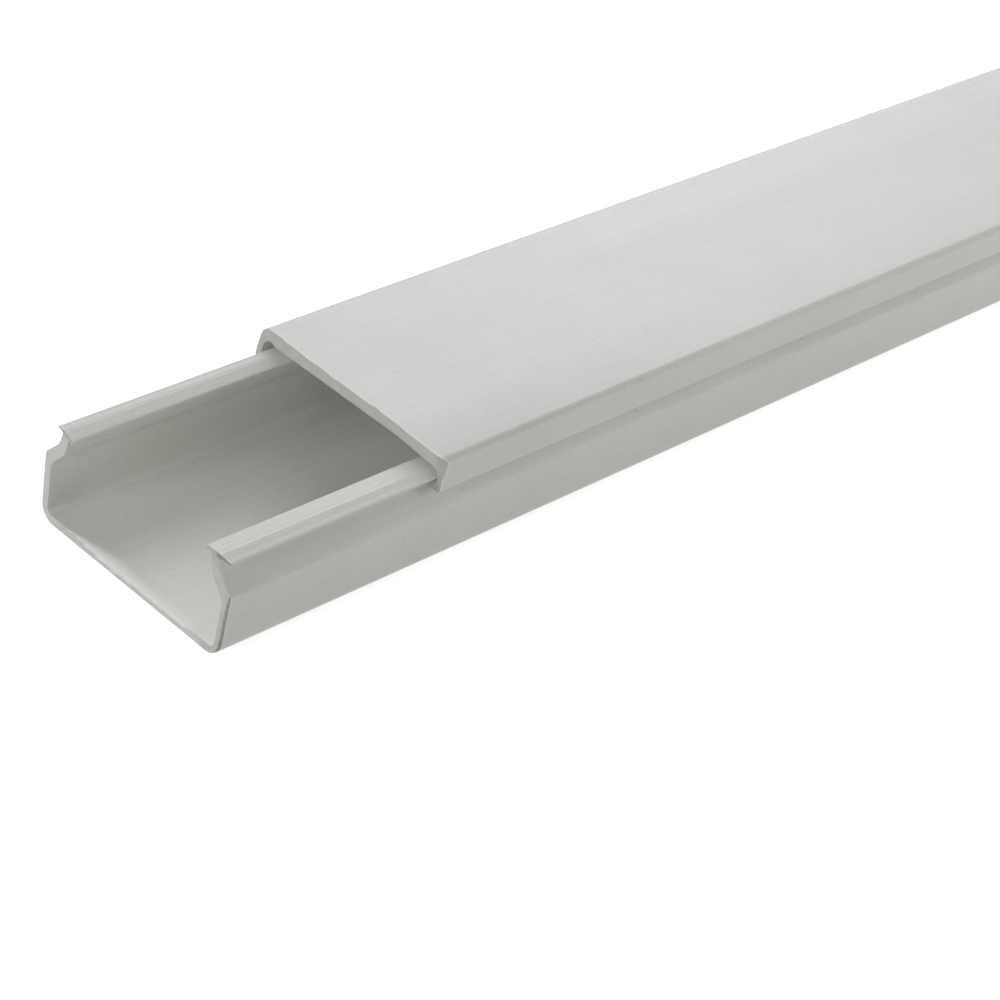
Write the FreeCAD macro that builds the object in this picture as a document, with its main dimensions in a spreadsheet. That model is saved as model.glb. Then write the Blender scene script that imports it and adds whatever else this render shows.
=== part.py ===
"""A cord cover raceway: an open channel that sticks to a wall and a lid that snaps over it.

Both are lengths of extruded uPVC, so each is one section carried along the length. The channel's
two walls bend inwards at the top into necks, and each neck ends in a snap rail. The lid has a
short leg down each side, with a hook along its foot that snaps under the rail. The back of the
channel carries a strip of adhesive under a paper liner.

Frame, in millimetres: X is the width, Y the length and Z up. The raceway lies on its liner, and the
origin is the middle of the face that goes against the wall. The lid is stored slid back along +Y.
"""
import FreeCAD, Part
import math
import os
import Sketcher

# Driving sizes, in millimetres. Each one is written here once.
SIZES = [
    # The stock as it is sold
    ("stock_length", 400.0, "length of the channel and of the lid"),
    ("lid_setback", 39.0, "how far the lid is slid back along the channel"),
    # The channel
    ("base_width", 39.7, "over the two shoulders"),
    ("shoulder_height", 11.05, "from the back to the corner where a neck starts"),
    ("neck_height", 4.6, "from that corner to the underside of the rail's outer tip"),
    ("foot_inset", 0.45, "how much further in a wall stands at its foot than at its shoulder"),
    ("wall_thickness", 1.25, "side walls"),
    ("floor_thickness", 1.35, "floor"),
    ("neck_bend_drop", 1.7, "from the underside of the rail's outer tip down to the bend in a neck"),
    ("neck_bend_step", 0.38, "how much further in a neck stands at the rail than at its bend"),
    ("neck_foot_thickness", 1.85, "necks between the shoulder and the bend"),
    ("neck_thickness", 1.5, "necks between the bend and the rail"),
    ("foot_radius", 2.8, "outside corners of the back"),
    ("floor_radius", 0.9, "inside corners of the floor"),
    ("shoulder_radius", 0.7, "outside of the shoulders"),
    ("shoulder_inner_radius", 1.5, "inside of the shoulders"),
    ("neck_bend_radius", 2.5, "outside of the bend in a neck"),
    ("neck_bend_inner_radius", 3.0, "inside of the bend in a neck"),
    # The snap rail on each neck
    ("rail_overhang", 2.0, "outwards from the neck, over the lid's hook"),
    ("rail_inner_overhang", 1.27, "inwards from the neck"),
    ("rail_lip_width", 0.65, "flat top of the lip along the outer tip"),
    ("rail_lip_thickness", 0.55, "that lip"),
    ("rail_slope_width", 1.1, "sloping part of the top, which guides the hook on"),
    ("rail_slope_drop", 0.4, "how far that part falls"),
    ("rail_thickness", 0.7, "at the inner tip"),
    ("rail_tip_radius", 0.2, "both tips"),
    ("rail_root_radius", 0.5, "between the rail's underside and the neck"),
    # The lid
    ("lid_side_step", 0.15, "how far a leg stands proud of the shoulder below it"),
    ("lid_thickness", 1.65, "flat top"),
    ("leg_thickness", 1.0, "legs"),
    ("lid_corner_radius", 1.2, "outside corners of the lid"),
    ("lid_inner_radius", 1.2, "inside corners of the lid"),
    ("hook_slope", 0.35, "how far the hook's catching face falls towards its tip"),
    ("hook_lead", 0.4, "height of the sloping face that guides the hook over the rail"),
    ("hook_tip_radius", 0.2, "tip of the hook"),
    ("leg_foot_radius", 0.45, "outside of the leg's foot"),
    # The clearances of the snap fit
    ("lid_headroom", 1.4, "from the top of the rails to the inside of the lid"),
    ("rail_side_clearance", 0.15, "from the rail's outer tip to the leg"),
    ("snap_clearance", 0.25, "from the hook to the rail above it"),
    ("neck_clearance", 0.7, "from the hook to the neck beside it"),
    # The adhesive and its backing paper
    ("tape_width", 32.0, "adhesive and liner"),
    ("tape_end_inset", 0.6, "from each cut end of the channel to the adhesive and liner"),
    ("tape_thickness", 0.2, "adhesive"),
    ("liner_thickness", 0.15, "backing paper"),
]

# Levels and faces that more than one piece is placed by, each an expression of the sizes above.
BACK_Z = "(sizes.liner_thickness + sizes.tape_thickness)"
SHOULDER_X = "(sizes.base_width / 2)"
SHOULDER_Z = f"({BACK_Z} + sizes.shoulder_height)"
LEG_OUTER_X = f"({SHOULDER_X} + sizes.lid_side_step)"
LEG_INNER_X = f"({LEG_OUTER_X} - sizes.leg_thickness)"
RAIL_OUTER_X = f"({LEG_INNER_X} - sizes.rail_side_clearance)"
RAIL_UNDER_Z = f"({SHOULDER_Z} + sizes.neck_height)"
RAIL_TOP_Z = f"({RAIL_UNDER_Z} + sizes.rail_lip_thickness + sizes.rail_slope_drop)"
# A neck leans in from the shoulder to its bend, and is more upright from there to the rail. A lean
# is how far a face comes in for each millimetre of height, and a slant is how long it is for each
# millimetre of height.
NECK_TOP_X = f"({RAIL_OUTER_X} - sizes.rail_overhang)"
BEND_X = f"({NECK_TOP_X} + sizes.neck_bend_step)"
LOWER_HEIGHT = "(sizes.neck_height - sizes.neck_bend_drop)"
LOWER_LEAN = f"(({SHOULDER_X} - {BEND_X}) / {LOWER_HEIGHT})"
LOWER_SLANT = f"sqrt(1 + {LOWER_LEAN} ^ 2)"
UPPER_LEAN = "(sizes.neck_bend_step / sizes.neck_bend_drop)"
UPPER_SLANT = f"sqrt(1 + {UPPER_LEAN} ^ 2)"

doc = FreeCAD.newDocument("cord_cover_raceway")


def make_sheet():
    """Put each driving size in a cell of its own, with its name as the alias."""
    sheet = doc.addObject("Spreadsheet::Sheet", "sizes")
    for row, (alias, value, meaning) in enumerate(SIZES, start=1):
        sheet.set(f"A{row}", alias)
        sheet.set(f"B{row}", str(value))
        sheet.set(f"C{row}", meaning)
        sheet.setAlias(f"B{row}", alias)
    doc.recompute()
    return sheet


def number(expression):
    """The present value of an expression of the sheet's cells."""
    value = sheet.evalExpression(expression)
    return float(getattr(value, "Value", value))


def origin_plane(body, role):
    """One of a body's own origin planes, by its role."""
    return next(plane for plane in body.Origin.OriginFeatures if plane.Role == role)


def corner_geometry(before, corner, after, radius):
    """The ends and the centre of the arc that rounds a corner between two straight sides."""
    to_before = (before - corner).normalize()
    to_after = (after - corner).normalize()
    half_angle = to_before.getAngle(to_after) / 2
    run = radius / math.tan(half_angle)
    start = corner + to_before * run
    end = corner + to_after * run
    centre = corner + (to_before + to_after).normalize() * (radius / math.sin(half_angle))
    return start, end, centre


def draw_outline(sketch, corners):
    """Draw a closed outline of straight sides whose corners are sharp or rounded.

    Each corner is (x, z, radius), three expressions of the sheet, with radius None where the corner
    is sharp. The sketch holds every corner as a point whose distances to the two axes are bound to
    its expressions. A side runs through its two corner points, and a round is an arc tangent to
    both of its sides.
    """
    places = [FreeCAD.Vector(number(x), number(z), 0) for x, z, _ in corners]
    count = len(corners)
    rounds = []
    for index, (_, _, radius) in enumerate(corners):
        place = places[index]
        if radius is None:
            rounds.append((place, place, None))
        else:
            before = places[index - 1]
            after = places[(index + 1) % count]
            rounds.append(corner_geometry(before, place, after, number(radius)))

    sides = []
    for index in range(count):
        start = rounds[index][1]
        end = rounds[(index + 1) % count][0]
        sides.append(sketch.addGeometry(Part.LineSegment(start, end), False))

    for index, (x, z, radius) in enumerate(corners):
        side_in = sides[index - 1]
        side_out = sides[index]
        if radius is None:
            sketch.addConstraint(Sketcher.Constraint("Coincident", side_in, 2, side_out, 1))
            bind_point(sketch, side_out, 1, x, z)
            continue
        corner = sketch.addGeometry(Part.Point(places[index]), True)
        bind_point(sketch, corner, 1, x, z)
        sketch.addConstraint(Sketcher.Constraint("PointOnObject", corner, 1, side_in))
        sketch.addConstraint(Sketcher.Constraint("PointOnObject", corner, 1, side_out))
        add_round(sketch, rounds[index], side_in, side_out, radius)


def add_round(sketch, round_points, side_in, side_out, radius):
    """Add the arc that rounds one corner, tangent to the sides on each side of it."""
    start, end, centre = round_points
    value = number(radius)
    middle = centre + ((start + end) * 0.5 - centre).normalize() * value
    arc = sketch.addGeometry(Part.Arc(start, middle, end), False)
    arc_start = sketch.getPoint(arc, 1)
    starts_at_side_in = arc_start.distanceToPoint(start) < arc_start.distanceToPoint(end)
    near_in, near_out = (1, 2) if starts_at_side_in else (2, 1)
    sketch.addConstraint(Sketcher.Constraint("Tangent", side_in, 2, arc, near_in))
    sketch.addConstraint(Sketcher.Constraint("Tangent", arc, near_out, side_out, 1))
    datum = sketch.addConstraint(Sketcher.Constraint("Radius", arc, value))
    sketch.setExpression(f"Constraints[{datum}]", radius)


def bind_point(sketch, geometry, point, x, z):
    """Bind a point's place along the two sketch axes to two expressions."""
    for kind, expression in (("DistanceX", x), ("DistanceY", z)):
        constraint = Sketcher.Constraint(kind, -1, 1, geometry, point, number(expression))
        datum = sketch.addConstraint(constraint)
        sketch.setExpression(f"Constraints[{datum}]", expression)


def both_halves(right_half):
    """The whole outline of a section that is alike on both sides, from its right half.

    The right half runs from one crossing of the centre line to the other.
    """
    left_half = [(f"-({x})", z, radius) for x, z, radius in reversed(right_half)]
    return right_half + left_half


def extrusion(label, corners, length):
    """A body that carries one section along a length, centred on the origin."""
    body = doc.addObject("PartDesign::Body", label)
    body.Label = label
    sketch = body.newObject("Sketcher::SketchObject", f"{label}_section")
    sketch.AttachmentSupport = [(origin_plane(body, "XZ_Plane"), "")]
    sketch.MapMode = "FlatFace"
    doc.recompute()
    draw_outline(sketch, corners)
    pad = body.newObject("PartDesign::Pad", f"{label}_length")
    pad.Profile = sketch
    pad.Midplane = True
    pad.setExpression("Length", length)
    doc.recompute()
    return body


def make_base():
    """The channel: floor, walls, bent necks and snap rails, in one section."""
    # A wall leans out a little from its foot to its shoulder, and its two faces are parallel.
    foot_x = f"({SHOULDER_X} - sizes.foot_inset)"
    wall_lean = "(sizes.foot_inset / sizes.shoulder_height)"
    wall_across = f"(sizes.wall_thickness * sqrt(1 + {wall_lean} ^ 2))"
    floor_corner_x = f"({foot_x} - {wall_across} + sizes.floor_thickness * {wall_lean})"

    # The two inner faces of a neck are parallel to its outer ones. The lower is placed by where it
    # would stand at the height of the shoulder, and the upper by where it would stand under the rail.
    lower_face_x = f"({SHOULDER_X} - sizes.neck_foot_thickness * {LOWER_SLANT})"
    upper_face_x = f"({NECK_TOP_X} - sizes.neck_thickness * {UPPER_SLANT})"
    lean_change = f"({LOWER_LEAN} - {UPPER_LEAN})"
    face_apart = f"({lower_face_x} - {upper_face_x} - {UPPER_LEAN} * sizes.neck_height)"
    rise_to_bend = f"({face_apart} / {lean_change})"
    inner_bend_x = f"({lower_face_x} - {rise_to_bend} * {LOWER_LEAN})"
    inner_bend_z = f"({SHOULDER_Z} + {rise_to_bend})"
    wall_face_x = f"({SHOULDER_X} - {wall_across})"
    drop_to_wall = f"(({wall_face_x} - {lower_face_x}) / ({LOWER_LEAN} + {wall_lean}))"
    inner_shoulder_x = f"({lower_face_x} + {drop_to_wall} * {LOWER_LEAN})"
    inner_shoulder_z = f"({SHOULDER_Z} - {drop_to_wall})"

    # The rail's underside rises a little from its outer tip to its inner tip. Each face of the neck
    # meets it this far above the level of the outer tip.
    rail_inner_x = f"({upper_face_x} - sizes.rail_inner_overhang)"
    rail_inner_under_z = f"({RAIL_TOP_Z} - sizes.rail_thickness)"
    under_rise = f"(({rail_inner_under_z} - {RAIL_UNDER_Z}) / ({RAIL_OUTER_X} - {rail_inner_x}))"
    lip_top_z = f"({RAIL_TOP_Z} - sizes.rail_slope_drop)"
    rise_per_run = f"({under_rise} / (1 - {under_rise} * {UPPER_LEAN}))"
    outer_rise = f"(sizes.rail_overhang * {rise_per_run})"
    inner_rise = f"(({RAIL_OUTER_X} - {upper_face_x}) * {rise_per_run})"

    outside = [
        (foot_x, BACK_Z, "sizes.foot_radius"),
        (SHOULDER_X, SHOULDER_Z, "sizes.shoulder_radius"),
        (BEND_X, f"{SHOULDER_Z} + {LOWER_HEIGHT}", "sizes.neck_bend_radius"),
        (f"{NECK_TOP_X} - {outer_rise} * {UPPER_LEAN}", f"{RAIL_UNDER_Z} + {outer_rise}",
         "sizes.rail_root_radius"),
    ]
    rail = [
        (RAIL_OUTER_X, RAIL_UNDER_Z, "sizes.rail_tip_radius"),
        (RAIL_OUTER_X, lip_top_z, "sizes.rail_tip_radius"),
        (f"{RAIL_OUTER_X} - sizes.rail_lip_width", lip_top_z, None),
        (f"{RAIL_OUTER_X} - sizes.rail_lip_width - sizes.rail_slope_width", RAIL_TOP_Z, None),
        (rail_inner_x, RAIL_TOP_Z, "sizes.rail_tip_radius"),
        (rail_inner_x, rail_inner_under_z, "sizes.rail_tip_radius"),
    ]
    inside = [
        (f"{upper_face_x} - {inner_rise} * {UPPER_LEAN}", f"{RAIL_UNDER_Z} + {inner_rise}",
         "sizes.rail_root_radius"),
        (inner_bend_x, inner_bend_z, "sizes.neck_bend_inner_radius"),
        (inner_shoulder_x, inner_shoulder_z, "sizes.shoulder_inner_radius"),
        (floor_corner_x, f"{BACK_Z} + sizes.floor_thickness", "sizes.floor_radius"),
    ]
    return extrusion("trunking_base", both_halves(outside + rail + inside), "sizes.stock_length")


def make_lid():
    """The lid: a flat top and two hooked legs, slid back along the channel."""
    inside_z = f"({RAIL_TOP_Z} + sizes.lid_headroom)"
    top_z = f"({inside_z} + sizes.lid_thickness)"
    catch_z = f"({RAIL_UNDER_Z} - sizes.snap_clearance)"
    # The hook's tip stands clear of the bend in the neck. Its guiding face is parallel to the lower
    # part of the neck, as far from it, and starts where that line passes under the hook's tip.
    tip_x = f"({BEND_X} + sizes.neck_clearance)"
    neck_gap = f"(sizes.neck_clearance * {LOWER_SLANT})"
    lead_z = f"({SHOULDER_Z} + ({SHOULDER_X} + {neck_gap} - {tip_x}) / {LOWER_LEAN})"
    foot_z = f"({lead_z} - sizes.hook_lead)"
    right_half = [
        (LEG_OUTER_X, top_z, "sizes.lid_corner_radius"),
        (LEG_OUTER_X, foot_z, "sizes.leg_foot_radius"),
        (f"{tip_x} + sizes.hook_lead * {LOWER_LEAN}", foot_z, None),
        (tip_x, lead_z, None),
        (tip_x, f"{catch_z} - sizes.hook_slope", "sizes.hook_tip_radius"),
        (LEG_INNER_X, catch_z, None),
        (LEG_INNER_X, inside_z, "sizes.lid_inner_radius"),
    ]
    body = extrusion("trunking_lid", both_halves(right_half), "sizes.stock_length")
    body.setExpression("Placement.Base.y", "sizes.lid_setback")
    return body


def make_strip(label, lower_z, upper_z):
    """A flat strip along the back, between two levels."""
    half_width = "(sizes.tape_width / 2)"
    right_half = [(half_width, lower_z, None), (half_width, upper_z, None)]
    length = "sizes.stock_length - 2 * sizes.tape_end_inset"
    return extrusion(label, both_halves(right_half), length)


def check_and_export(bodies):
    """Stop if anything failed to compute, and otherwise write each piece to its own file."""
    for item in doc.Objects:
        if "Invalid" in item.State or "Error" in item.State:
            raise RuntimeError(f"{item.Label} failed: {item.State}")
    os.makedirs("parts", exist_ok=True)
    for body in bodies:
        shape = body.Shape
        if shape.isNull() or not shape.isValid() or len(shape.Solids) != 1:
            raise RuntimeError(f"{body.Label} isn't one valid solid")
        shape.exportStep(f"parts/{body.Label}.step")
        box = shape.BoundBox
        print(f"{body.Label}: {shape.Volume / 1000:.2f} cm3, x {box.XMin:.2f} to {box.XMax:.2f}, "
              f"y {box.YMin:.1f} to {box.YMax:.1f}, z {box.ZMin:.2f} to {box.ZMax:.2f}")


sheet = make_sheet()
base = make_base()
lid = make_lid()
tape = make_strip("adhesive_tape", "sizes.liner_thickness", BACK_Z)
liner = make_strip("release_liner", "0", "sizes.liner_thickness")
doc.recompute()
check_and_export([base, lid, tape, liner])
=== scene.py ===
# %% [markdown]
# # A cord cover raceway, with its lid slid part way open
#
# The real object is two lengths of extruded off-white plastic. The channel sticks to a wall, and
# the lid clips over the rails along the tops of its two walls. Under the channel lie a strip of
# adhesive and the yellow paper that covers it.
#
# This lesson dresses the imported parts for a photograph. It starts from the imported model, because
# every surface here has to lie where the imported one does. Blender works in metres, and a section
# this small is easier to read in millimetres, so shapes are worked out in millimetres and scaled
# once, when they become a mesh.

import bpy
import numpy as np
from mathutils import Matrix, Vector
from mathutils.geometry import delaunay_2d_cdt


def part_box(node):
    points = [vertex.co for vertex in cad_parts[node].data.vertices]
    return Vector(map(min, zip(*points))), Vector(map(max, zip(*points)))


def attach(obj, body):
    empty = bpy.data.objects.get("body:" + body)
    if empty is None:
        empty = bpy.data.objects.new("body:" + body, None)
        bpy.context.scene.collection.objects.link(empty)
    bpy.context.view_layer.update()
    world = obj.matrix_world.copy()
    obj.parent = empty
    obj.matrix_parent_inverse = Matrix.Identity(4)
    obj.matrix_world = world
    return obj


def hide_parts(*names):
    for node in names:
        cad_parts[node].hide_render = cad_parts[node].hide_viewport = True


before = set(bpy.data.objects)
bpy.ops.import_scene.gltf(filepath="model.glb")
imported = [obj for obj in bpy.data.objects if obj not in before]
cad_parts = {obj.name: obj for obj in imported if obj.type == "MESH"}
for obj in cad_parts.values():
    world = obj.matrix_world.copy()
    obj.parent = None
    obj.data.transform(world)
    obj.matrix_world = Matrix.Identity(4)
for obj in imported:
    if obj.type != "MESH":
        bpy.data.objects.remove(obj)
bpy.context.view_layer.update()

MM = 0.001
for name in sorted(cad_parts):
    low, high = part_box(name)
    print(name, "from", np.round(np.array(low) / MM, 2), "to", np.round(np.array(high) / MM, 2))

# %% [markdown]
# ## The camera
#
# The photograph looks down along the raceway from beyond its cut end, a little over half a metre
# away, through a long lens. The camera's place, turn and lens were worked out from the long edges
# of the channel and the lid, so they are set as plain numbers here. Framing it by eye would work
# too, but the edges would then never quite fall where the photograph has them.

# %% Place the camera
CAMERA_PLACE = (0.23217, -0.42215, 0.24431)
CAMERA_TURN_DEGREES = (55.136, -10.199, 44.650)
LENS_MM = 103.13
SENSOR_MM = 36.0

camera_data = bpy.data.cameras.new("camera")
camera_data.lens = LENS_MM
camera_data.sensor_width = SENSOR_MM
camera = bpy.data.objects.new("camera", camera_data)
camera.location = CAMERA_PLACE
camera.rotation_euler = np.radians(CAMERA_TURN_DEGREES)
bpy.context.scene.collection.objects.link(camera)
bpy.context.scene.camera = camera
print("camera", CAMERA_PLACE, "turned", CAMERA_TURN_DEGREES, "lens", LENS_MM)

# %% [markdown]
# ## The section as an outline
#
# An extrusion is one outline carried along its length, so the outline decides nearly everything.
# It could be drawn as a curve and bevelled, but a list of corners with radii is how the section is
# known: each corner's place, and how far it is rounded. A function turns the list into points, all
# corners at once.

# %% Round the corners of an outline
ARC_POINTS = 9
SAME_PLACE = 1e-6


def unit(vectors):
    """Vectors of length one: each vector divided by its own length."""
    return vectors / np.linalg.norm(vectors, axis=-1, keepdims=True)


def rounded_outline(corners):
    """Points (x, z) round a closed outline whose corners are (x, z, radius).

    A corner becomes the arc that touches both of its sides. Its centre lies on the line that halves
    the corner, at radius / sin(half the corner's angle), and it starts at radius / tan(half the
    angle) from the corner. The arc is the first spoke turned in equal steps to the last one.
    """
    corners = np.asarray(corners, float)
    place = corners[:, :2]
    radius = corners[:, 2:]
    to_last = unit(np.roll(place, 1, axis=0) - place)
    to_next = unit(np.roll(place, -1, axis=0) - place)
    half = np.arccos(np.sum(to_last * to_next, axis=1, keepdims=True)) / 2
    centre = place + unit(to_last + to_next) * radius / np.sin(half)
    spoke = place + to_last * radius / np.tan(half) - centre
    side = np.sign(to_last[:, :1] * to_next[:, 1:] - to_last[:, 1:] * to_next[:, :1])
    turn = -side * (np.pi - 2 * half) * np.linspace(0, 1, ARC_POINTS)
    cosine, sine = np.cos(turn), np.sin(turn)
    arc_x = centre[:, :1] + cosine * spoke[:, :1] - sine * spoke[:, 1:]
    arc_z = centre[:, 1:] + sine * spoke[:, :1] + cosine * spoke[:, 1:]
    points = np.stack([arc_x.ravel(), arc_z.ravel()], axis=1)
    apart = np.linalg.norm(points - np.roll(points, 1, axis=0), axis=1)
    return points[apart > SAME_PLACE]


square = rounded_outline([(0, 0, 0), (1, 0, 0), (1, 1, 0.2), (0, 1, 0)])
print("a square with one round corner has", len(square), "points")


# %% Mirror, divide and offset an outline
def both_halves(right_half):
    """A whole outline from its right half: the half, then its mirror image walked backwards."""
    right_half = np.asarray(right_half, float)
    return np.concatenate([right_half, right_half[::-1] * (-1, 1, 1)])


def divided(outline, longest):
    """The outline with each side cut into equal parts, none longer than the limit at its middle."""
    side = np.roll(outline, -1, axis=0) - outline
    middle = outline + side / 2
    parts = np.ceil(np.linalg.norm(side, axis=1) / longest(middle)).astype(int)
    index = np.repeat(np.arange(len(outline)), parts)
    first = np.repeat(np.cumsum(parts) - parts, parts)
    share = (np.arange(len(index)) - first) / parts[index]
    return outline[index] + side[index] * share[:, None]


def outward(outline):
    """The direction out of the plastic at each point, for an outline walked anticlockwise."""
    along = unit(np.roll(outline, -1, axis=0) - np.roll(outline, 1, axis=0))
    return np.stack([along[:, 1], -along[:, 0]], axis=1)


def smooth(low, high, value):
    """0 below low, 1 above high, and an even S-shaped rise between: t * t * (3 - 2 t)."""
    t = np.clip((value - low) / (high - low), 0, 1)
    return t * t * (3 - 2 * t)


print("out of the square's lower left corner:", outward(square)[0].round(2))

# %% [markdown]
# ## The channel's section
#
# On the real channel each wall bends inwards near its top into a neck, and the neck carries a flat
# rail with a slope and a lip along its outer edge. The die that the plastic was pressed through is
# the same on both sides, so only the right half is listed, and the left half is its mirror image.
# The sides could all be divided as finely as the rails need, but only the tops of the rails carry
# fine lines, so the rest stays coarse.

# %% The channel's section
BASE_RIGHT_HALF = [
    (19.40, 0.35, 2.8),      # outside corner of the back
    (19.85, 11.40, 0.7),     # shoulder, where the wall leans in to become the neck
    (17.23, 14.30, 2.5),     # bend of the neck, outer side
    (16.83, 16.11, 0.5),     # root of the rail on its outer side
    (18.85, 16.00, 0.2),     # rail's outer tip, underside
    (18.85, 16.55, 0.2),     # rail's outer tip, top
    (18.20, 16.55, 0.0),     # where the lip ends and the slope starts
    (17.10, 16.95, 0.0),     # crest, where the slope ends
    (14.04, 16.95, 0.2),     # rail's inner tip, top
    (14.04, 16.25, 0.2),     # rail's inner tip, underside
    (15.27, 16.19, 0.5),     # root of the rail on its inner side
    (16.01, 12.89, 3.0),     # bend of the neck, inner side
    (18.55, 10.08, 2.6),     # inside of the shoulder
    (18.20, 1.70, 0.9),      # inside corner of the floor
]
RAIL_TOP_FROM = 16.3
RAIL_TOP_SPACING = 0.08
PLAIN_SPACING = 0.6


def base_spacing(points):
    """Longest side allowed: fine on the tops of the rails, which carry the die's lines."""
    return np.where(points[:, 1] > RAIL_TOP_FROM, RAIL_TOP_SPACING, PLAIN_SPACING)


base_outline = divided(rounded_outline(both_halves(BASE_RIGHT_HALF)), base_spacing)
print("channel outline:", len(base_outline), "points")

# %% [markdown]
# ## The rails
#
# The tops of the rails aren't plain. Each has a shallow groove, an inner edge that is turned down a
# little, a lip that hangs down at its outer edge, and very fine lines from the die. All of these are
# under a fifth of a millimetre, so they are added to the outline as small moves of its points, which
# is easier to change than many more corners. The left rail came out of the die a little narrow and
# leans in by about 20 degrees, so it is squeezed and turned as a whole.

# %% Finish the tops of the rails
RIGHT_SIDE = (16.65, 0.05, 0.23)    # groove's place, its depth, and how steeply the lip falls
LEFT_SIDE = (17.0, 0.06, 0.18)
GROOVE_WIDTH = 0.20
DIE_LINE_PLACES = np.arange(13.5, 19.5, 0.27)
DIE_LINE_DEPTH = 0.032
INNER_EDGE_DROP = 0.13
LIP_FROM = 18.2
LIP_UNDERSIDE = 16.0
LIP_THICKNESS = 0.55


def rail_relief(outline):
    """How far the tops of the rails stand below the plain section, in millimetres.

    The groove is a bell curve, depth * exp(-(x / width) ** 2), deeper and further out on the left.
    The inner edge falls away along its last half millimetre. The die's lines are random steps,
    joined by straight slopes, and the same on both rails.
    """
    across = np.abs(outline[:, 0])
    random = np.random.default_rng(4)
    depths = random.uniform(0, DIE_LINE_DEPTH, len(DIE_LINE_PLACES))
    lines = np.interp(across, DIE_LINE_PLACES, depths)
    centre, depth, _ = np.where(outline[:, :1] > 0, RIGHT_SIDE, LEFT_SIDE).T
    groove = depth * np.exp(-((across - centre) / GROOVE_WIDTH) ** 2)
    inner_edge = INNER_EDGE_DROP * smooth(14.65, 14.05, across)
    on_top = smooth(16.35, 16.5, outline[:, 1])
    return on_top * (lines + groove + inner_edge)


def lip_fall(outline):
    """How far the lip's top hangs down: evenly more to its tip, and none at its underside."""
    steepness = np.where(outline[:, 0] > 0, RIGHT_SIDE[2], LEFT_SIDE[2])
    out = np.clip(np.abs(outline[:, 0]) - LIP_FROM, 0, None)
    share = np.clip((outline[:, 1] - LIP_UNDERSIDE) / LIP_THICKNESS, 0, 1)
    return steepness * out * share * (outline[:, 1] < 16.6)


base_outline = base_outline - outward(base_outline) * rail_relief(base_outline)[:, None]
base_outline[:, 1] -= lip_fall(base_outline)
print("rails from z", RAIL_TOP_FROM, "to", base_outline[:, 1].max().round(2))

# %% Lean the left rail in
LEAN_DEGREES = 21.5
LEAN_PIVOT = np.array([-16.2, 16.2])
LEAN_STARTS = 15.2
LEAN_WHOLE = 16.1
NARROW_ABOUT = np.array([-15.5, 0.0])
NARROW_BY = np.array([0.74, 1.0])


def lean_left_rail(outline):
    """Squeeze the left rail across and turn it about the top of its neck.

    Both fade out down the neck, as a share that is 0 where the lean starts and 1 where it is whole.
    """
    angle = np.radians(LEAN_DEGREES)
    arm = NARROW_ABOUT + (outline - NARROW_ABOUT) * NARROW_BY - LEAN_PIVOT
    turned = LEAN_PIVOT + arm @ np.array([[np.cos(angle), -np.sin(angle)],
                                          [np.sin(angle), np.cos(angle)]])
    share = smooth(LEAN_STARTS, LEAN_WHOLE, outline[:, 1]) * (outline[:, 0] < 0)
    return outline + (turned - outline) * share[:, None]


base_outline = lean_left_rail(base_outline)
print("left rail from", base_outline[base_outline[:, 1] > 16.4].min(axis=0).round(2))

# %% [markdown]
# ## The lid's section
#
# The lid is a flat top with a short leg on each side, and each leg ends in a hook that sits under a
# rail. On the real one the top eases down towards its sides by a quarter of a millimetre, and the
# underside hangs lower towards the right, where this lid was drawn a little thick. Both are gentle
# slopes over many points, so they are moves of the outline too, and not corners of their own.

# %% The lid's section
LID_RIGHT_HALF = [
    (19.00, 18.35, 1.4),     # inside corner of the lid
    (19.00, 15.75, 0.0),     # where the hook's catching face starts
    (17.93, 15.40, 0.2),     # tip of the hook
    (17.93, 14.57, 0.0),     # lower end of the tip
    (18.29, 14.17, 0.0),     # foot of the hook's guiding face
    (20.00, 14.17, 0.45),    # outside of the leg's foot
    (20.00, 20.00, 1.2),     # outside corner of the lid
]
LID_TOP_FROM = 19.9
LID_TOP_SPACING = 0.25
LID_PLAIN_SPACING = 0.5
CROWN_DROP = 0.24
THICKER_FROM = 10.2
THICKER_BY = 0.083


def lid_spacing(points):
    """Longest side allowed: finer along the flat top, where the ragged cut shows most."""
    return np.where(points[:, 1] > LID_TOP_FROM, LID_TOP_SPACING, LID_PLAIN_SPACING)


def crown(outline):
    """How far the lid's top falls towards its edges: it is flat in the middle and eases down."""
    on_top = smooth(19.0, 19.6, outline[:, 1])
    return CROWN_DROP * smooth(8.0, 21.0, np.abs(outline[:, 0])) * on_top


def thick_side(outline):
    """How far the underside hangs down on the right: evenly more from THICKER_FROM to the leg.

    On the leg's inner face the share is (z - 15.9) / 1.3, so that the hook stays where it is.
    """
    on_underside = np.clip((outline[:, 1] - 15.9) / 1.3, 0, 1) * (outline[:, 1] < 18.5)
    on_underside = on_underside * (outline[:, 0] < 19.2)
    return THICKER_BY * np.clip(outline[:, 0] - THICKER_FROM, 0, None) * on_underside


lid_outline = divided(rounded_outline(both_halves(LID_RIGHT_HALF)), lid_spacing)
lid_outline[:, 1] -= crown(lid_outline) + thick_side(lid_outline)
print("lid outline:", len(lid_outline), "points")

# %% [markdown]
# ## From outline to stock
#
# Real stock is cut with a saw, and the photograph looks straight at the cut. A plain extrusion has
# perfectly square, sharp ends, so here the cut is a surface of its own: at each place of the
# section, a function says how far the cut lies back from the end. The long sides start on that
# surface and run straight again a little way along. The cut face is filled with a net of triangles,
# so that its marks are real relief and not only shading.

# %% Fill a cut with triangles
FACE_GRID = 0.22
RIM_MARGIN = 0.6 * FACE_GRID
NET_SLACK = 1e-7


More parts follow.
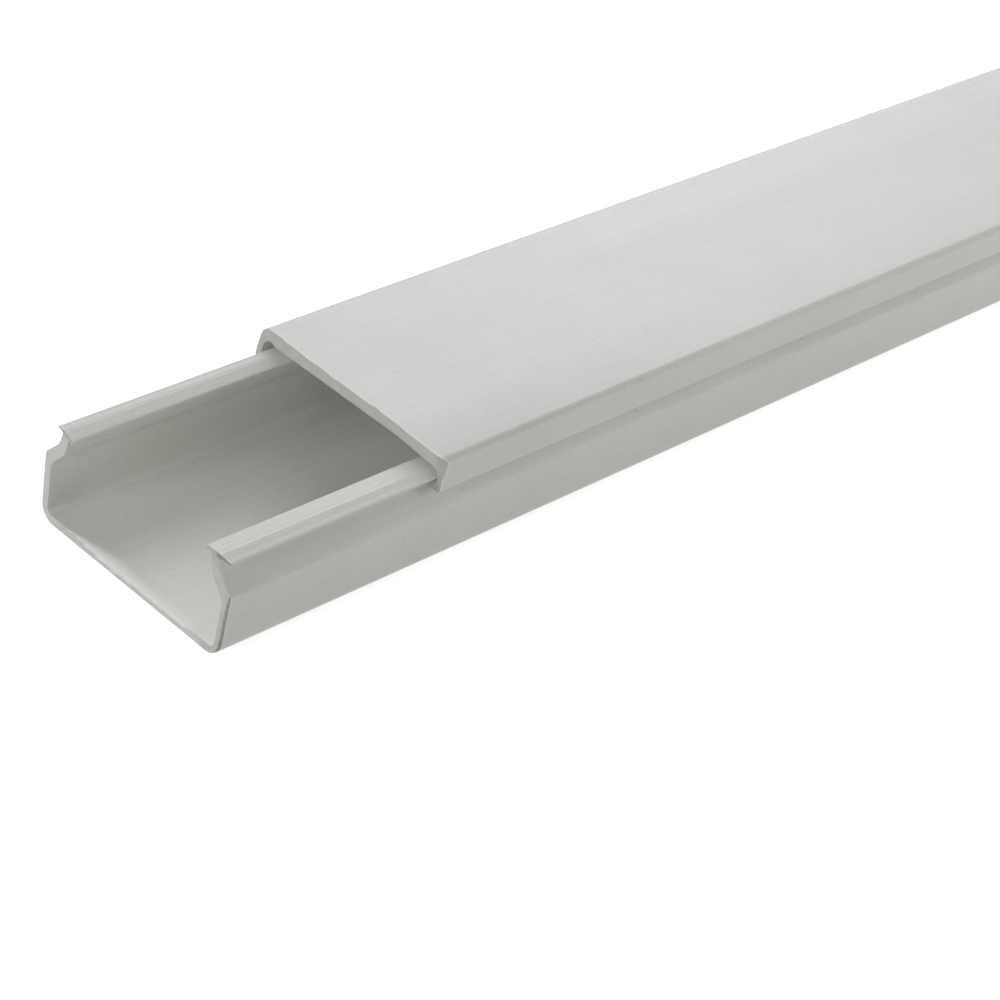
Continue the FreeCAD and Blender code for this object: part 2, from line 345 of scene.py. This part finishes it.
def inside(outline, points, margin):
    """Which points lie inside a closed outline and at least a margin away from its points.

    A point is inside when a line from it towards +x crosses the outline an odd number of times.
    """
    start, end = outline, np.roll(outline, -1, axis=0)
    above = points[:, None, 1] > np.stack([start, end])[:, None, :, 1]
    crosses = above[0] != above[1]
    rise = np.where(end[:, 1] == start[:, 1], 1, end[:, 1] - start[:, 1])
    at_x = start[:, 0] + (points[:, None, 1] - start[:, 1]) / rise * (end[:, 0] - start[:, 0])
    odd = np.sum(crosses & (points[:, :1] < at_x), axis=1) % 2 == 1
    away = np.min(np.linalg.norm(points[:, None] - outline, axis=2), axis=1) > margin
    return odd & away


def cut_face(rim):
    """Triangles that fill a cut, and the places of the points that they use inside the rim.

    The inner points are a grid whose every other row is shifted by half a step.
    """
    low, high = rim.min(axis=0), rim.max(axis=0)
    x, z = np.meshgrid(np.arange(low[0], high[0], FACE_GRID), np.arange(low[1], high[1], FACE_GRID))
    x[::2] += FACE_GRID / 2
    grid = np.stack([x.ravel(), z.ravel()], axis=1)
    grid = grid[inside(rim, grid, RIM_MARGIN)]
    every = np.concatenate([rim, grid])
    around = np.arange(len(rim))
    rim_edges = np.stack([around, np.roll(around, -1)], axis=1)
    found = delaunay_2d_cdt(every.tolist(), rim_edges.tolist(), [], 1, NET_SLACK, True)
    order = np.array([ids[0] for ids in found[3]])
    triangles = order[np.array(found[2])]
    return triangles[inside(rim, every[triangles].mean(axis=1), 0)], grid


print("a net across the lid's section has", len(cut_face(lid_outline)[0]), "triangles")

# %% Carry an outline along the length
EDGE_BREAK = 0.05
SETTLE = 16.0
END_STEPS = np.array([0, 0.05, 0.12, 0.22, 0.36, 0.55, 0.8, 1.15, 1.7, 2.5, 3.7, 5.5, 8, 11.5, SETTLE])
LONG_STEP = 12.0


def stations(low_y, high_y):
    """The rings along a length: each one's y, its distance from its end, and which end that is.

    The end is 1 near the near end and -1 near the far one, and 0 for the rings between them.
    """
    rings_between = 2 + int((high_y - low_y - 2 * SETTLE) / LONG_STEP)
    middle = np.linspace(SETTLE, high_y - low_y - SETTLE, rings_between)[1:-1]
    from_end = np.concatenate([END_STEPS, middle, END_STEPS[::-1]])
    end = np.concatenate([np.ones(len(END_STEPS)), np.zeros(len(middle)), -np.ones(len(END_STEPS))])
    return np.where(end < 0, high_y - from_end, low_y + from_end), from_end, end


def long_sides(outline, low_y, high_y, near_cut, far_cut):
    """The points of a length's long sides, as a grid of rings by the outline's points.

    Near an end, a point lies at its ring's y plus what the cut takes off at that place of the
    section, which fades out as the square of the way left to SETTLE. The first ring of each end is
    drawn in by EDGE_BREAK, so that the edge of the cut is broken.
    """
    ring_y, from_end, end = stations(low_y, high_y)
    drawn_in = EDGE_BREAK * (from_end == 0)
    section = outline - outward(outline) * drawn_in[:, None, None]
    x, z = section[..., 0], section[..., 1]
    taken_off = np.where(end[:, None] > 0, near_cut(x, z), far_cut(x, z))
    fade = (1 - np.clip(from_end / SETTLE, 0, 1))[:, None] ** 2
    y = ring_y[:, None] + end[:, None] * taken_off * fade
    return np.stack([x, y, z], axis=2)


print("the channel has", len(stations(0, 400)[0]), "rings")

# %% Make a length of stock
SHARP_FROM_DEGREES = 32


def stock(name, outline, low_y, high_y, near_cut, far_cut):
    """A closed length of stock: its long sides in quads, and both cuts filled by the same net."""
    side = long_sides(outline, low_y, high_y, near_cut, far_cut)
    rings, around = side.shape[:2]
    number = np.arange(rings * around).reshape(rings, around)
    onward = np.roll(number, -1, axis=1)
    quads = np.stack([number[:-1], number[1:], onward[1:], onward[:-1]], axis=2).reshape(-1, 4)

    triangles, grid = cut_face(side[0][:, [0, 2]])
    x, z = grid[:, 0], grid[:, 1]
    near_face = np.stack([x, low_y + near_cut(x, z), z], axis=1)
    far_face = np.stack([x, high_y - far_cut(x, z), z], axis=1)
    near_numbers = np.concatenate([number[0], number.size + np.arange(len(grid))])
    far_numbers = np.concatenate([number[-1], number.size + len(grid) + np.arange(len(grid))])

    vertices = np.concatenate([side.reshape(-1, 3), near_face, far_face]) * MM
    faces = quads.tolist() + near_numbers[triangles].tolist()
    faces += far_numbers[triangles][:, ::-1].tolist()
    mesh = bpy.data.meshes.new(name)
    mesh.from_pydata(vertices.tolist(), [], faces)
    mesh.set_sharp_from_angle(angle=np.radians(SHARP_FROM_DEGREES))
    piece = bpy.data.objects.new(name, mesh)
    bpy.context.scene.collection.objects.link(piece)
    print(name, len(vertices), "points,", len(mesh.polygons), "faces")
    return piece


# %% [markdown]
# ## The sawn ends
#
# In the photograph neither cut is square or clean. On the channel the rails' outer tips are cut back
# below, the outer edge of the right wall is torn, and the top edge of the floor is worn round. The
# lid's cut leans back to a ragged top edge, furthest at its left corner, and on its right leg only
# the outer edge is set back. These could be dents pressed in with a sculpting brush, but tables of
# how far the edge lies back at a few places say it in numbers that can be measured and changed.

# %% Ripples
def ripples(x, z, seed, wavelength, waves=6):
    """Gentle relief: the mean of sine waves with random directions, lengths and starts."""
    random = np.random.default_rng(seed)
    heading = random.uniform(0, np.pi, waves)
    length = wavelength * random.uniform(0.6, 1.6, waves)
    start = random.uniform(0, 2 * np.pi, waves)
    along = x[..., None] * np.cos(heading) + z[..., None] * np.sin(heading)
    return np.mean(np.sin(2 * np.pi * along / length + start), axis=-1)


print("ripples at three places:", ripples(np.arange(3.0), np.zeros(3), 3, 1.6).round(2))

# %% The worn edge of the channel's floor
FLOOR_TOP = 1.7
WEAR_AT = (-15, -12, -9, -6, -3, 3, 12, 15)
WEAR_HEIGHT = (0, 0.23, 0.56, 0.80, 0.96, 0.55, 0.55, 0)
WEAR_REACH = 2.0


def wear(x, z):
    """How far the worn edge of the floor lies back from the near cut, in millimetres.

    The edge is rolled over: it starts steeply at the foot of the worn height and ends level with the
    floor's top, as reach * height * (1 - sqrt(1 - t)), where t is the share of the height climbed.
    """
    height = np.interp(x, WEAR_AT, WEAR_HEIGHT) + 0.06 * ripples(x, x * 0, 21, 2.5) + 0.001
    climbed = np.clip((z - FLOOR_TOP + height) / height, 0, 1)
    on_floor = (np.abs(x) < WEAR_AT[-1]) & (z < FLOOR_TOP + 0.05)
    return on_floor * WEAR_REACH * height * (1 - np.sqrt(1 - climbed))


print("worn back at the floor's top by", wear(np.array([-9.0, -3.0, 9.0]), FLOOR_TOP).round(2), "mm")

# %% The channel's near cut
SHOULDER_X = 19.85
SHOULDER_Z = 11.4
WALL_LEAN = 0.0407
TORN_AT = (0.3, 3.0, 5.2, 7.0, 9.0, 10.8, 11.4)
TORN_WIDTH = (0.66, 0.50, 0.38, 0.50, 0.38, 0.34, 0.2)
TORN_DEPTH = 0.28
UNDERCUT_DEPTH = 0.5


def torn(x, z):
    """0 to 1 across the strip that is torn off the right wall's outer edge: 1 is the outer face."""
    wall_outside = SHOULDER_X - WALL_LEAN * (SHOULDER_Z - z)
    width = np.interp(z, TORN_AT, TORN_WIDTH) * (1 + 0.7 * ripples(x * 0, z, 8, 1.4)) + 0.01
    return np.clip(1 - (wall_outside - x) / width, 0, 1) * (x > 17) * (z < SHOULDER_Z)


def on_rail(x, z):
    """0 to 1 on the rails' part of the channel's cut. The left rail leans, and its underside too."""
    underside = np.where(x > 0, 16.1, 15.8 - 0.214 * (x + 14.45))
    return smooth(-0.12, 0.04, z - underside)


def channel_near_cut(x, z):
    """How far the channel's near cut lies back from y = -200, in millimetres."""
    saw = 0.03 + 0.02 * ripples(x, z, 3, 1.6)
    outer_tip = smooth(16.2, 17.8, np.abs(x)) * np.clip((16.9 - z) / 0.8, 0, 1)
    undercut = UNDERCUT_DEPTH * outer_tip * on_rail(x, z)
    return saw + undercut + wear(x, z) + TORN_DEPTH * torn(x, z)


print("the right wall's edge is torn back by up to", TORN_DEPTH, "mm")

# %% The lid's near cut
LID_EDGE_AT = (-19, -16, -15, -12, -10, -6, -4, -3, 0, 4, 4.8, 6, 9, 10, 11, 13)
LID_EDGE_BACK = (1.1, 1.1, 0.75, 0.61, 0.34, 0.38, 0.17, 0.32, 0.26, 0.2, 0.47, 0.3, 0.19, 0.3, 0.08, 0)


def lid_near_cut(x, z):
    """How far the lid's near cut lies back from y = -161, in millimetres.

    Along the flat part the cut leans back from its lower edge to its ragged top edge. On the left
    corner that goes on down the leg, and on the right leg only the outer edge is set back.
    """
    saw = 0.03 + 0.02 * ripples(x, z, 5, 1.8)
    flat = np.interp(z, (18.35, 20.0), (0, 1))
    corner = np.interp(z, (16.0, 17.0, 18.35, 20.0), (0, 0.16, 0.45, 1))
    share = flat + (corner - flat) * smooth(-15.5, -18.5, x)
    leg = np.interp(z, (16.5, 17.1, 17.9, 18.7), (0, 0.28, 0.55, 0.7)) * smooth(17.8, 19.8, x)
    return saw + np.interp(x, LID_EDGE_AT, LID_EDGE_BACK) * share + leg * smooth(20.0, 19.2, z)


print("the lid's top edge lies back by up to", max(LID_EDGE_BACK), "mm")

# %% Make both lengths
def far_cut(x, z):
    """How far a far cut lies back: a fair saw cut, a hair out of square."""
    return 0.04 + 0.02 * ripples(x, z, 11, 1.7) + 0.003 * (x + 20)


base_low, base_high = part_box("trunking_base")
lid_low, lid_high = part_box("trunking_lid")
channel = stock("channel_shell", base_outline, base_low.y / MM, base_high.y / MM,
                channel_near_cut, far_cut)
lid = stock("lid_cover", lid_outline, lid_low.y / MM, lid_high.y / MM, lid_near_cut, far_cut)

# %% [markdown]
# ## Marks for the materials
#
# A sawn face is greyer and rougher than the skin beside it, and the lid's cut is blotched. A paler
# band along the cut edges is a painted highlight. Darker paint in the right wall's torn strip, on the
# rails' and right neck's cut, along the edges of the lid's flat cut, inside the left wall's foot, on
# the right neck's outer face and towards the lid's near right corner is painted shade, and the lid's
# right leg is cut darker. Painting an image would need the piece unwrapped. The same functions that
# shaped the cuts already know where each of these is, so their answers are stored as numbers on the
# points of the mesh, and the material reads them.

# %% Store the marks
ON_CUT = 0.002
HIGHLIGHT_FADE = 0.3


def mark(piece, label, values):
    """Store one number for each point of a piece's mesh."""
    stored = piece.data.attributes.new(label, "FLOAT", "POINT")
    stored.data.foreach_set("value", values.astype(np.float32))


def mark_cuts(piece, low_y, high_y, near_cut, worn, cut_shade_and_blotches, side_painted_shade):
    """Store where a piece is sawn, the painted highlight along its cut edges, and painted shade.

    A point is sawn when it lies on either cut's surface. The painted highlight along an edge fades as
    exp(-distance / fade) with the distance along the piece from the nearer cut. Worn places of a cut
    count as skin, not as sawn. The near cut's painted shade, with the lid cut's blotches, is one
    function, and the painted shade on all other faces is another.
    """
    places = np.empty(3 * len(piece.data.vertices))
    piece.data.vertices.foreach_get("co", places)
    x, y, z = places.reshape(-1, 3).T / MM
    near, far = y - low_y - near_cut(x, z), high_y - y - far_cut(x, z)
    on_near = near < ON_CUT
    unworn = np.where(on_near, 1 - worn(x, z), 1)
    mark(piece, "sawn", np.where(on_near, unworn, far < ON_CUT))
    # Painted highlight: how much paler the skin is along the cut edges.
    mark(piece, "edge", np.exp(-np.minimum(near, far) / HIGHLIGHT_FADE) * unworn)
    # Painted shade, with the blotches on the lid's cut.
    mark(piece, "painted_shade_and_blotches", np.where(on_near, cut_shade_and_blotches(x, z), side_painted_shade(x, near, z)))
    print(piece.name, "has", np.sum(on_near), "points on its near cut")


# %% Mark the channel
def channel_worn(x, z):
    """1 on the worn edge of the channel's floor, 0 on the rest of its cut."""
    return smooth(0, 0.15, wear(x, z))


def channel_cut_painted_shade(x, z):
    """Painted shade on the channel's cut: on the rails, in the right wall's torn strip and beside it.
    """
    strip = smooth(0, 0.3, torn(x, z)) * (1.0 + 0.2 * smooth(6.0, 2.0, z))
    rails = on_rail(x, z) * np.where(x > 0, 0.45 + 0.65 * smooth(15.8, 16.6, x), 0.5)
    right_wall = (0.26 + 0.14 * ripples(x, z, 31, 1.5)) * smooth(14.5, 16.5, x)
    right_wall += 0.25 * smooth(14.4, 15.6, z) * (x > 0)
    return np.maximum(np.maximum(strip, rails), right_wall)


def channel_side_painted_shade(x, along, z):
    """Painted shade: a faint dark patch in the corner at the left wall's foot, and a greyer outer face
    on the right neck, under the rail's lip.

    The patch is a bell curve in all three directions, with a few ripples. The neck's outer face has
    1.107 x + z above 32.3 and x above 16.4, with z from 11.0 to 15.9, and it clears along the piece.
    """
    place = np.exp(-((along - 3.5) / 4.0) ** 2 - ((x + 18.2) / 1.6) ** 2 - ((z - 3.0) / 2.6) ** 2)
    foot = 0.16 * place * (1 + 0.6 * ripples(x + along, z, 51, 2.4)) * (x > -18.7)
    on_neck = (x > 16.4) * (1.107 * x + z > 32.3) * smooth(11.0, 11.5, z) * smooth(15.9, 15.3, z)
    return foot + (0.10 + 0.14 * np.exp(-along / 8.0)) * on_neck * smooth(60, 30, along)


mark_cuts(channel, base_low.y / MM, base_high.y / MM, channel_near_cut, channel_worn, channel_cut_painted_shade,
          channel_side_painted_shade)


# %% Mark the lid
def lid_cut_blotches_and_painted_shade(x, z):
    """The lid's cut: blotches of its own tone, painted shade along the edges of the flat part, and
    darker on the right leg.
    """
    blotches = 0.14 + 0.14 * ripples(x, z, 41, 2.2)
    edges = 0.12 * ((z - 19.15) / 0.85) ** 2 * (z > 18.2)
    return blotches + edges + 0.36 * smooth(17.5, 19.0, x)


def lid_top_painted_shade(x, along, z):
    """Painted shade: the lid's top is a little greyer towards its near right corner and its right edge,
    but not along the cut's edge.
    """
    right = 0.75 * smooth(8, 17, x) * smooth(75, 5, along) + 0.25 * smooth(16, 19, x)
    return 0.24 * right * smooth(19.0, 19.6, z) * smooth(0.1, 0.6, along)


def nowhere(x, z):
    """0 everywhere."""
    return 0.0 * x


mark_cuts(lid, lid_low.y / MM, lid_high.y / MM, lid_near_cut, nowhere, lid_cut_blotches_and_painted_shade, lid_top_painted_shade)

# %% [markdown]
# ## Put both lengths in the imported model's place
#
# Each length rides on its own body, so that the lid slides and the channel stays, and it takes the
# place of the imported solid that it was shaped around.

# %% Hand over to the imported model
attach(channel, "channel")
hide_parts("trunking_base")
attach(lid, "lid")
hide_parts("trunking_lid")
print(channel.name, "rides on channel, and", lid.name, "rides on lid")

# %% [markdown]
# ## Shader maths as plain expressions
#
# A material is a net of nodes, and drawing it wire by wire hides what it works out. One small class
# wraps an output, so that sums and products of outputs add the Math nodes that they need, and one
# method adds any other node.

# %% Wrap an output socket
class Wire:
    """One output in a node tree, or the bare tree, from which nodes are added."""

    def __init__(self, tree, socket=None):
        self.tree = tree
        self.socket = socket

    def node(self, kind, settings=None, sockets=None, output=0):
        """Add a node. Its settings are set first, then its sockets get values or links."""
        node = self.tree.nodes.new(kind)
        for name, value in (settings or {}).items():
            setattr(node, name, value)
        for key, value in (sockets or {}).items():
            if isinstance(value, Wire):
                self.tree.links.new(value.socket, node.inputs[key])
            else:
                node.inputs[key].default_value = value
        return Wire(self.tree, node.outputs[output])

    def maths(self, operation, first, second):
        """A Math node on two wires or numbers."""
        return self.node("ShaderNodeMath", {"operation": operation}, {0: first, 1: second})

    def __add__(self, other):
        return self.maths("ADD", self, other)

    __radd__ = __add__

    def __sub__(self, other):
        return self.maths("SUBTRACT", self, other)

    def __rsub__(self, other):
        return self.maths("SUBTRACT", other, self)

    def __mul__(self, other):
        return self.maths("MULTIPLY", self, other)

    __rmul__ = __mul__

    def between(self, low, high):
        """0 where the wire is at low or less, 1 at high or more, with a smooth rise between."""
        return self.node("ShaderNodeMapRange", {"interpolation_type": "SMOOTHSTEP"},
                         {"Value": self, "From Min": low, "From Max": high})

    def mix(self, first, second):
        """A colour between two others, by this wire: 0 gives the first and 1 the second."""
        return self.node("ShaderNodeMix", {"data_type": "RGBA"}, {0: self, 6: first, 7: second}, 2)


# %% Start and finish a material
def new_material(name):
    """An empty material, and its bare tree."""
    material = bpy.data.materials.new(name)
    material.use_nodes = True
    material.node_tree.nodes.clear()
    return material, Wire(material.node_tree)


def finish_material(tree, shader):
    """Give the material its surface."""
    output = tree.tree.nodes.new("ShaderNodeOutputMaterial")
    tree.tree.links.new(shader.socket, output.inputs["Surface"])


def colour(red, green, blue):
    """A colour given as it shows on a screen, 0 to 255, as the linear values that nodes use."""
    value = np.array([red, green, blue]) / 255
    linear = np.where(value <= 0.04045, value / 12.92, ((value + 0.055) / 1.055) ** 2.4)
    return (*linear.tolist(), 1.0)


def scaled(tint, share):
    """A colour made darker or paler: each part times the share, 1 at most."""
    return tuple(min(1.0, share * part) for part in tint[:3]) + (1.0,)


SKIN = colour(227, 227, 220)
SAWN = colour(186, 186, 181)
LID_SAWN = colour(179, 179, 174)
# The grey of the painted shade, also used for the blotches on the lid's cut.
SHADE_AND_BLOTCH_GREY = colour(118, 118, 109)
print("the skin's colour in linear values:", np.round(SKIN, 3))

# %% [markdown]
# ## The plastic
#
# The real plastic has a satin skin that is nearly white. The die drew fine lines along it, it is
# faintly mottled, and it carries a few small specks. An image could be wrapped round it, but noise
# that reads Object coordinates covers every face at one scale with no seam. For the die's lines the
# coordinates are squeezed along the length, which draws the noise out into streaks.

# %% The plastic
DRAWN_OUT = (1, 0.006, 1)
SPECK_CELLS_PER_METRE = 420


def plastic(name, skin, sawn_colour):
    """Extruded plastic: a satin skin drawn out in fine lines along Y, and rough sawn ends."""
    material, tree = new_material(name)
    where = tree.node("ShaderNodeTexCoord", {}, {}, "Object")
    drawn = tree.node("ShaderNodeMapping", {}, {"Vector": where, "Scale": DRAWN_OUT})
    lines = tree.node("ShaderNodeTexNoise", {}, {"Vector": drawn, "Scale": 2600, "Detail": 3.0,
                                                 "Roughness": 0.6})
    broad = tree.node("ShaderNodeTexNoise", {}, {"Vector": drawn, "Scale": 420, "Detail": 2.0})
    grain = tree.node("ShaderNodeTexNoise", {}, {"Vector": where, "Scale": 3200, "Detail": 2.0})
    mottle = tree.node("ShaderNodeTexNoise", {}, {"Vector": where, "Scale": 1500, "Detail": 2.0})
    cloud = tree.node("ShaderNodeTexNoise", {}, {"Vector": where, "Scale": 60, "Detail": 3.0})
    cells = {"Vector": where, "Scale": SPECK_CELLS_PER_METRE}
    from_middle = tree.node("ShaderNodeTexVoronoi", {}, cells)
    cell_colour = tree.node("ShaderNodeTexVoronoi", {}, cells, "Color")
    few = tree.node("ShaderNodeSeparateColor", {}, {0: cell_colour}, 0).between(0.84, 0.87)
    speck = (1 - from_middle.between(0.05, 0.13)) * few
    sawn = tree.node("ShaderNodeAttribute", {"attribute_name": "sawn"}, {}, "Fac")
    edge = tree.node("ShaderNodeAttribute", {"attribute_name": "edge"}, {}, "Fac")
    painted_shade_and_blotches = tree.node("ShaderNodeAttribute", {"attribute_name": "painted_shade_and_blotches"}, {}, "Fac")

    shade = (0.25 * broad + 0.25 * cloud + 0.15 * lines + 0.35 * mottle).between(0.38, 0.62)
    tint = shade.mix(scaled(skin, 0.93), skin)
    # Painted highlight: paler skin along the cut edges.
    tint = (0.7 * edge * (1 - sawn)).mix(tint, scaled(skin, 1.06))
    tint = (0.35 * speck).mix(tint, scaled(skin, 0.55))
    tint = sawn.mix(tint, grain.between(0.3, 0.7).mix(scaled(sawn_colour, 0.9), sawn_colour))
    # Painted shade, with the lid cut's blotches, darkens the colour towards a grey.
    tint = (painted_shade_and_blotches * (0.6 + 0.5 * grain)).mix(tint, SHADE_AND_BLOTCH_GREY)
    rough = 0.38 + 0.10 * broad + 0.22 * sawn
    height = 0.5 * lines + 0.35 * grain + 0.6 * mottle + 1.2 * sawn * grain
    bump = tree.node("ShaderNodeBump", {}, {"Strength": 0.12, "Distance": 0.0001, "Height": height})
    shader = tree.node("ShaderNodeBsdfPrincipled", {}, {
        "Base Color": tint, "Roughness": rough, "Normal": bump, "Specular IOR Level": 0.45})
    finish_material(tree, shader)
    return material


channel.data.materials.append(plastic("base_plastic", SKIN, SAWN))
lid.data.materials.append(plastic("lid_plastic", SKIN, LID_SAWN))
print("the channel's plastic has", len(channel.data.materials[0].node_tree.nodes), "nodes")

# %% [markdown]
# ## The adhesive and its paper
#
# Under the channel the yellow paper covers the adhesive, and only the thin edge of the film shows.
# Both are flat strips on the real raceway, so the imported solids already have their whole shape.
# They keep it, and only get materials: a milky film, and paper with fibres and flecks.

# %% The adhesive
def dress(node, material):
    """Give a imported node's object one material."""
    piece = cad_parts[node]
    piece.data.materials.clear()
    piece.data.materials.append(material)
    print(node, "is dressed in", material.name)


def adhesive_material():
    """A milky film of adhesive, slightly mottled and slightly glossy."""
    material, tree = new_material("adhesive")
    where = tree.node("ShaderNodeTexCoord", {}, {}, "Object")
    mottle = tree.node("ShaderNodeTexNoise", {}, {"Vector": where, "Scale": 300, "Detail": 3.0})
    tint = mottle.between(0.35, 0.65).mix(colour(212, 216, 200), colour(224, 226, 214))
    bump = tree.node("ShaderNodeBump", {}, {"Strength": 0.2, "Distance": 0.0001, "Height": mottle})
    finish_material(tree, tree.node("ShaderNodeBsdfPrincipled", {}, {
        "Base Color": tint, "Roughness": 0.3 + 0.2 * mottle, "Normal": bump}))
    return material


dress("adhesive_tape", adhesive_material())


# %% The paper
def liner_material():
    """Yellow backing paper: mottled, with short pale fibres and small dark flecks."""
    material, tree = new_material("liner_paper")
    where = tree.node("ShaderNodeTexCoord", {}, {}, "Object")
    cloud = tree.node("ShaderNodeTexNoise", {}, {"Vector": where, "Scale": 240, "Detail": 5.0})
    drawn = tree.node("ShaderNodeMapping", {}, {"Vector": where, "Scale": (1, 0.22, 1)})
    fibre = tree.node("ShaderNodeTexNoise", {}, {"Vector": drawn, "Scale": 2600, "Detail": 4.0})
    flecks = tree.node("ShaderNodeTexVoronoi", {}, {"Vector": where, "Scale": 700})
    tint = cloud.between(0.3, 0.7).mix(colour(196, 165, 66), colour(212, 182, 82))
    tint = (0.5 * fibre.between(0.55, 0.75)).mix(tint, colour(226, 202, 116))
    tint = (0.35 * (1 - flecks.between(0.05, 0.12))).mix(tint, colour(150, 118, 42))
    bump = tree.node("ShaderNodeBump", {}, {"Strength": 0.3, "Distance": 0.00008, "Height": fibre})
    finish_material(tree, tree.node("ShaderNodeBsdfPrincipled", {}, {
        "Base Color": tint, "Roughness": 0.55 + 0.2 * cloud, "Normal": bump}))
    return material


dress("release_liner", liner_material())

# %% [markdown]
# ## The floor
#
# The photograph's background is plain white. Stronger lamps would make a floor white too, but the
# plastic would then be washed out. So the floor is a pale, matt sheet that also glows, only for the
# rays that show the surroundings: it shows white, keeps the raceway's shadow, and adds no light to
# the plastic's own colour. The lamps reach only its middle, so the glow is weaker there.

# %% Floor
FLOOR_REACH = 30.0
FLOOR_DROP = 0.00005
FLOOR_GREY = 0.8
NEAR_GLOW = 0.72
NEAR_GLOW_ENDS = 0.5
FULL_GLOW_FROM = 1.3


def shown(tree):
    """1 for the rays that show the surroundings: straight to the camera, in gloss, or through glass."""
    camera_ray = tree.node("ShaderNodeLightPath", {}, {}, "Is Camera Ray")
    glossy_ray = tree.node("ShaderNodeLightPath", {}, {}, "Is Glossy Ray")
    return camera_ray + glossy_ray + tree.node("ShaderNodeLightPath", {}, {}, "Is Transmission Ray")


def grey(level):
    """A colour with the same linear value in all its parts."""
    return (level, level, level, 1)


def floor_material():
    """Pale and matt, with a glow that rises from NEAR_GLOW in the middle to full white further out."""
    material, tree = new_material("studio_floor")
    diffuse = tree.node("ShaderNodeBsdfDiffuse", {}, {"Color": grey(FLOOR_GREY)})
    where = tree.node("ShaderNodeTexCoord", {}, {}, "Object")
    distance = tree.node("ShaderNodeVectorMath", {"operation": "LENGTH"}, {0: where}, "Value")
    tint = distance.between(NEAR_GLOW_ENDS, FULL_GLOW_FROM).mix(grey(NEAR_GLOW), grey(1))
    glow = tree.node("ShaderNodeEmission", {}, {"Color": tint, "Strength": 1.0})
    both = tree.node("ShaderNodeAddShader", {}, {0: diffuse, 1: glow})
    finish_material(tree, tree.node("ShaderNodeMixShader", {}, {0: shown(tree), 1: diffuse, 2: both}))
    return material


floor_corners = FLOOR_REACH * np.array([(-1, -1, 0), (1, -1, 0), (1, 1, 0), (-1, 1, 0)])
floor_mesh = bpy.data.meshes.new("studio_floor")
floor_mesh.from_pydata(floor_corners.tolist(), [], [(0, 1, 2, 3)])
floor = bpy.data.objects.new("studio_floor", floor_mesh)
floor.location.z = -FLOOR_DROP
bpy.context.scene.collection.objects.link(floor)
floor_mesh.materials.append(floor_material())
print("floor", 2 * FLOOR_REACH, "m wide")

# %% [markdown]
# ## The light
#
# The photograph's light is soft and comes from all round, with more from the far left: the lid's top
# and the rails are the palest faces, and the inside of the left wall is among the darkest. An image
# of a studio could light it, but square lamps are easier to set one by one. Each was rendered alone,
# and their powers were then worked out together, so that the sum comes close to the photograph's
# lightness on every face. The world is white where it shows, and otherwise only a faint fill.

# %% World
WORLD_STRENGTH = 0.160

world = bpy.data.worlds.new("studio")
world.use_nodes = True
background = world.node_tree.nodes["Background"]
background.inputs["Color"].default_value = grey(1)
world_strength = WORLD_STRENGTH + (1 - WORLD_STRENGTH) * shown(Wire(world.node_tree))
world.node_tree.links.new(world_strength.socket, background.inputs["Strength"])
bpy.context.scene.world = world
print("world at", WORLD_STRENGTH, "as light, and white where it shows")

# %% Lamps
AIM = Vector((0, -0.05, 0))
COOL = (0.975, 0.99, 1.03)
NEUTRAL = (1.0, 1.0, 1.0)


def softbox(name, place, size, watts, light):
    """A square lamp at a place, facing the raceway, with the colour of its light."""
    data = bpy.data.lights.new(name, "AREA")
    data.size = size
    data.energy = watts
    data.color = light
    lamp = bpy.data.objects.new(name, data)
    lamp.location = place
    lamp.rotation_euler = (AIM - Vector(place)).to_track_quat("-Z", "Y").to_euler()
    bpy.context.scene.collection.objects.link(lamp)
    print(name, "gives", watts, "watts")


# From above and from the left, for the faces that look up. The far, low and back ones stand across
# from the camera, so they also show as a soft gloss there.
softbox("overhead_softbox", (0, 0, 1.7), 1.0, 1.10, COOL)
softbox("far_left_softbox", (-0.76, 0.98, 0.84), 0.8, 3.17, COOL)
softbox("left_softbox", (-1.1, 0.5, 1.3), 1.0, 5.71, COOL)
softbox("low_left_softbox", (-0.9, 0.95, 0.42), 0.4, 1.24, COOL)
softbox("back_left_softbox", (-0.55, 0.7, 0.55), 0.3, 0.61, COOL)
# From the near end, for the sawn cuts, and from the right, for the outer side of the right wall.
softbox("near_end_softbox", (0, -1.4, 0.35), 0.6, 10.44, COOL)
softbox("near_right_softbox", (1.3, -1.2, 0.7), 1.2, 4.20, NEUTRAL)
# Close by on the right, so that this side grows paler further along.
softbox("close_right_softbox", (0.28, 0.12, 0.12), 0.15, 0.19, NEUTRAL)

bpy.context.scene.view_settings.view_transform = "Standard"
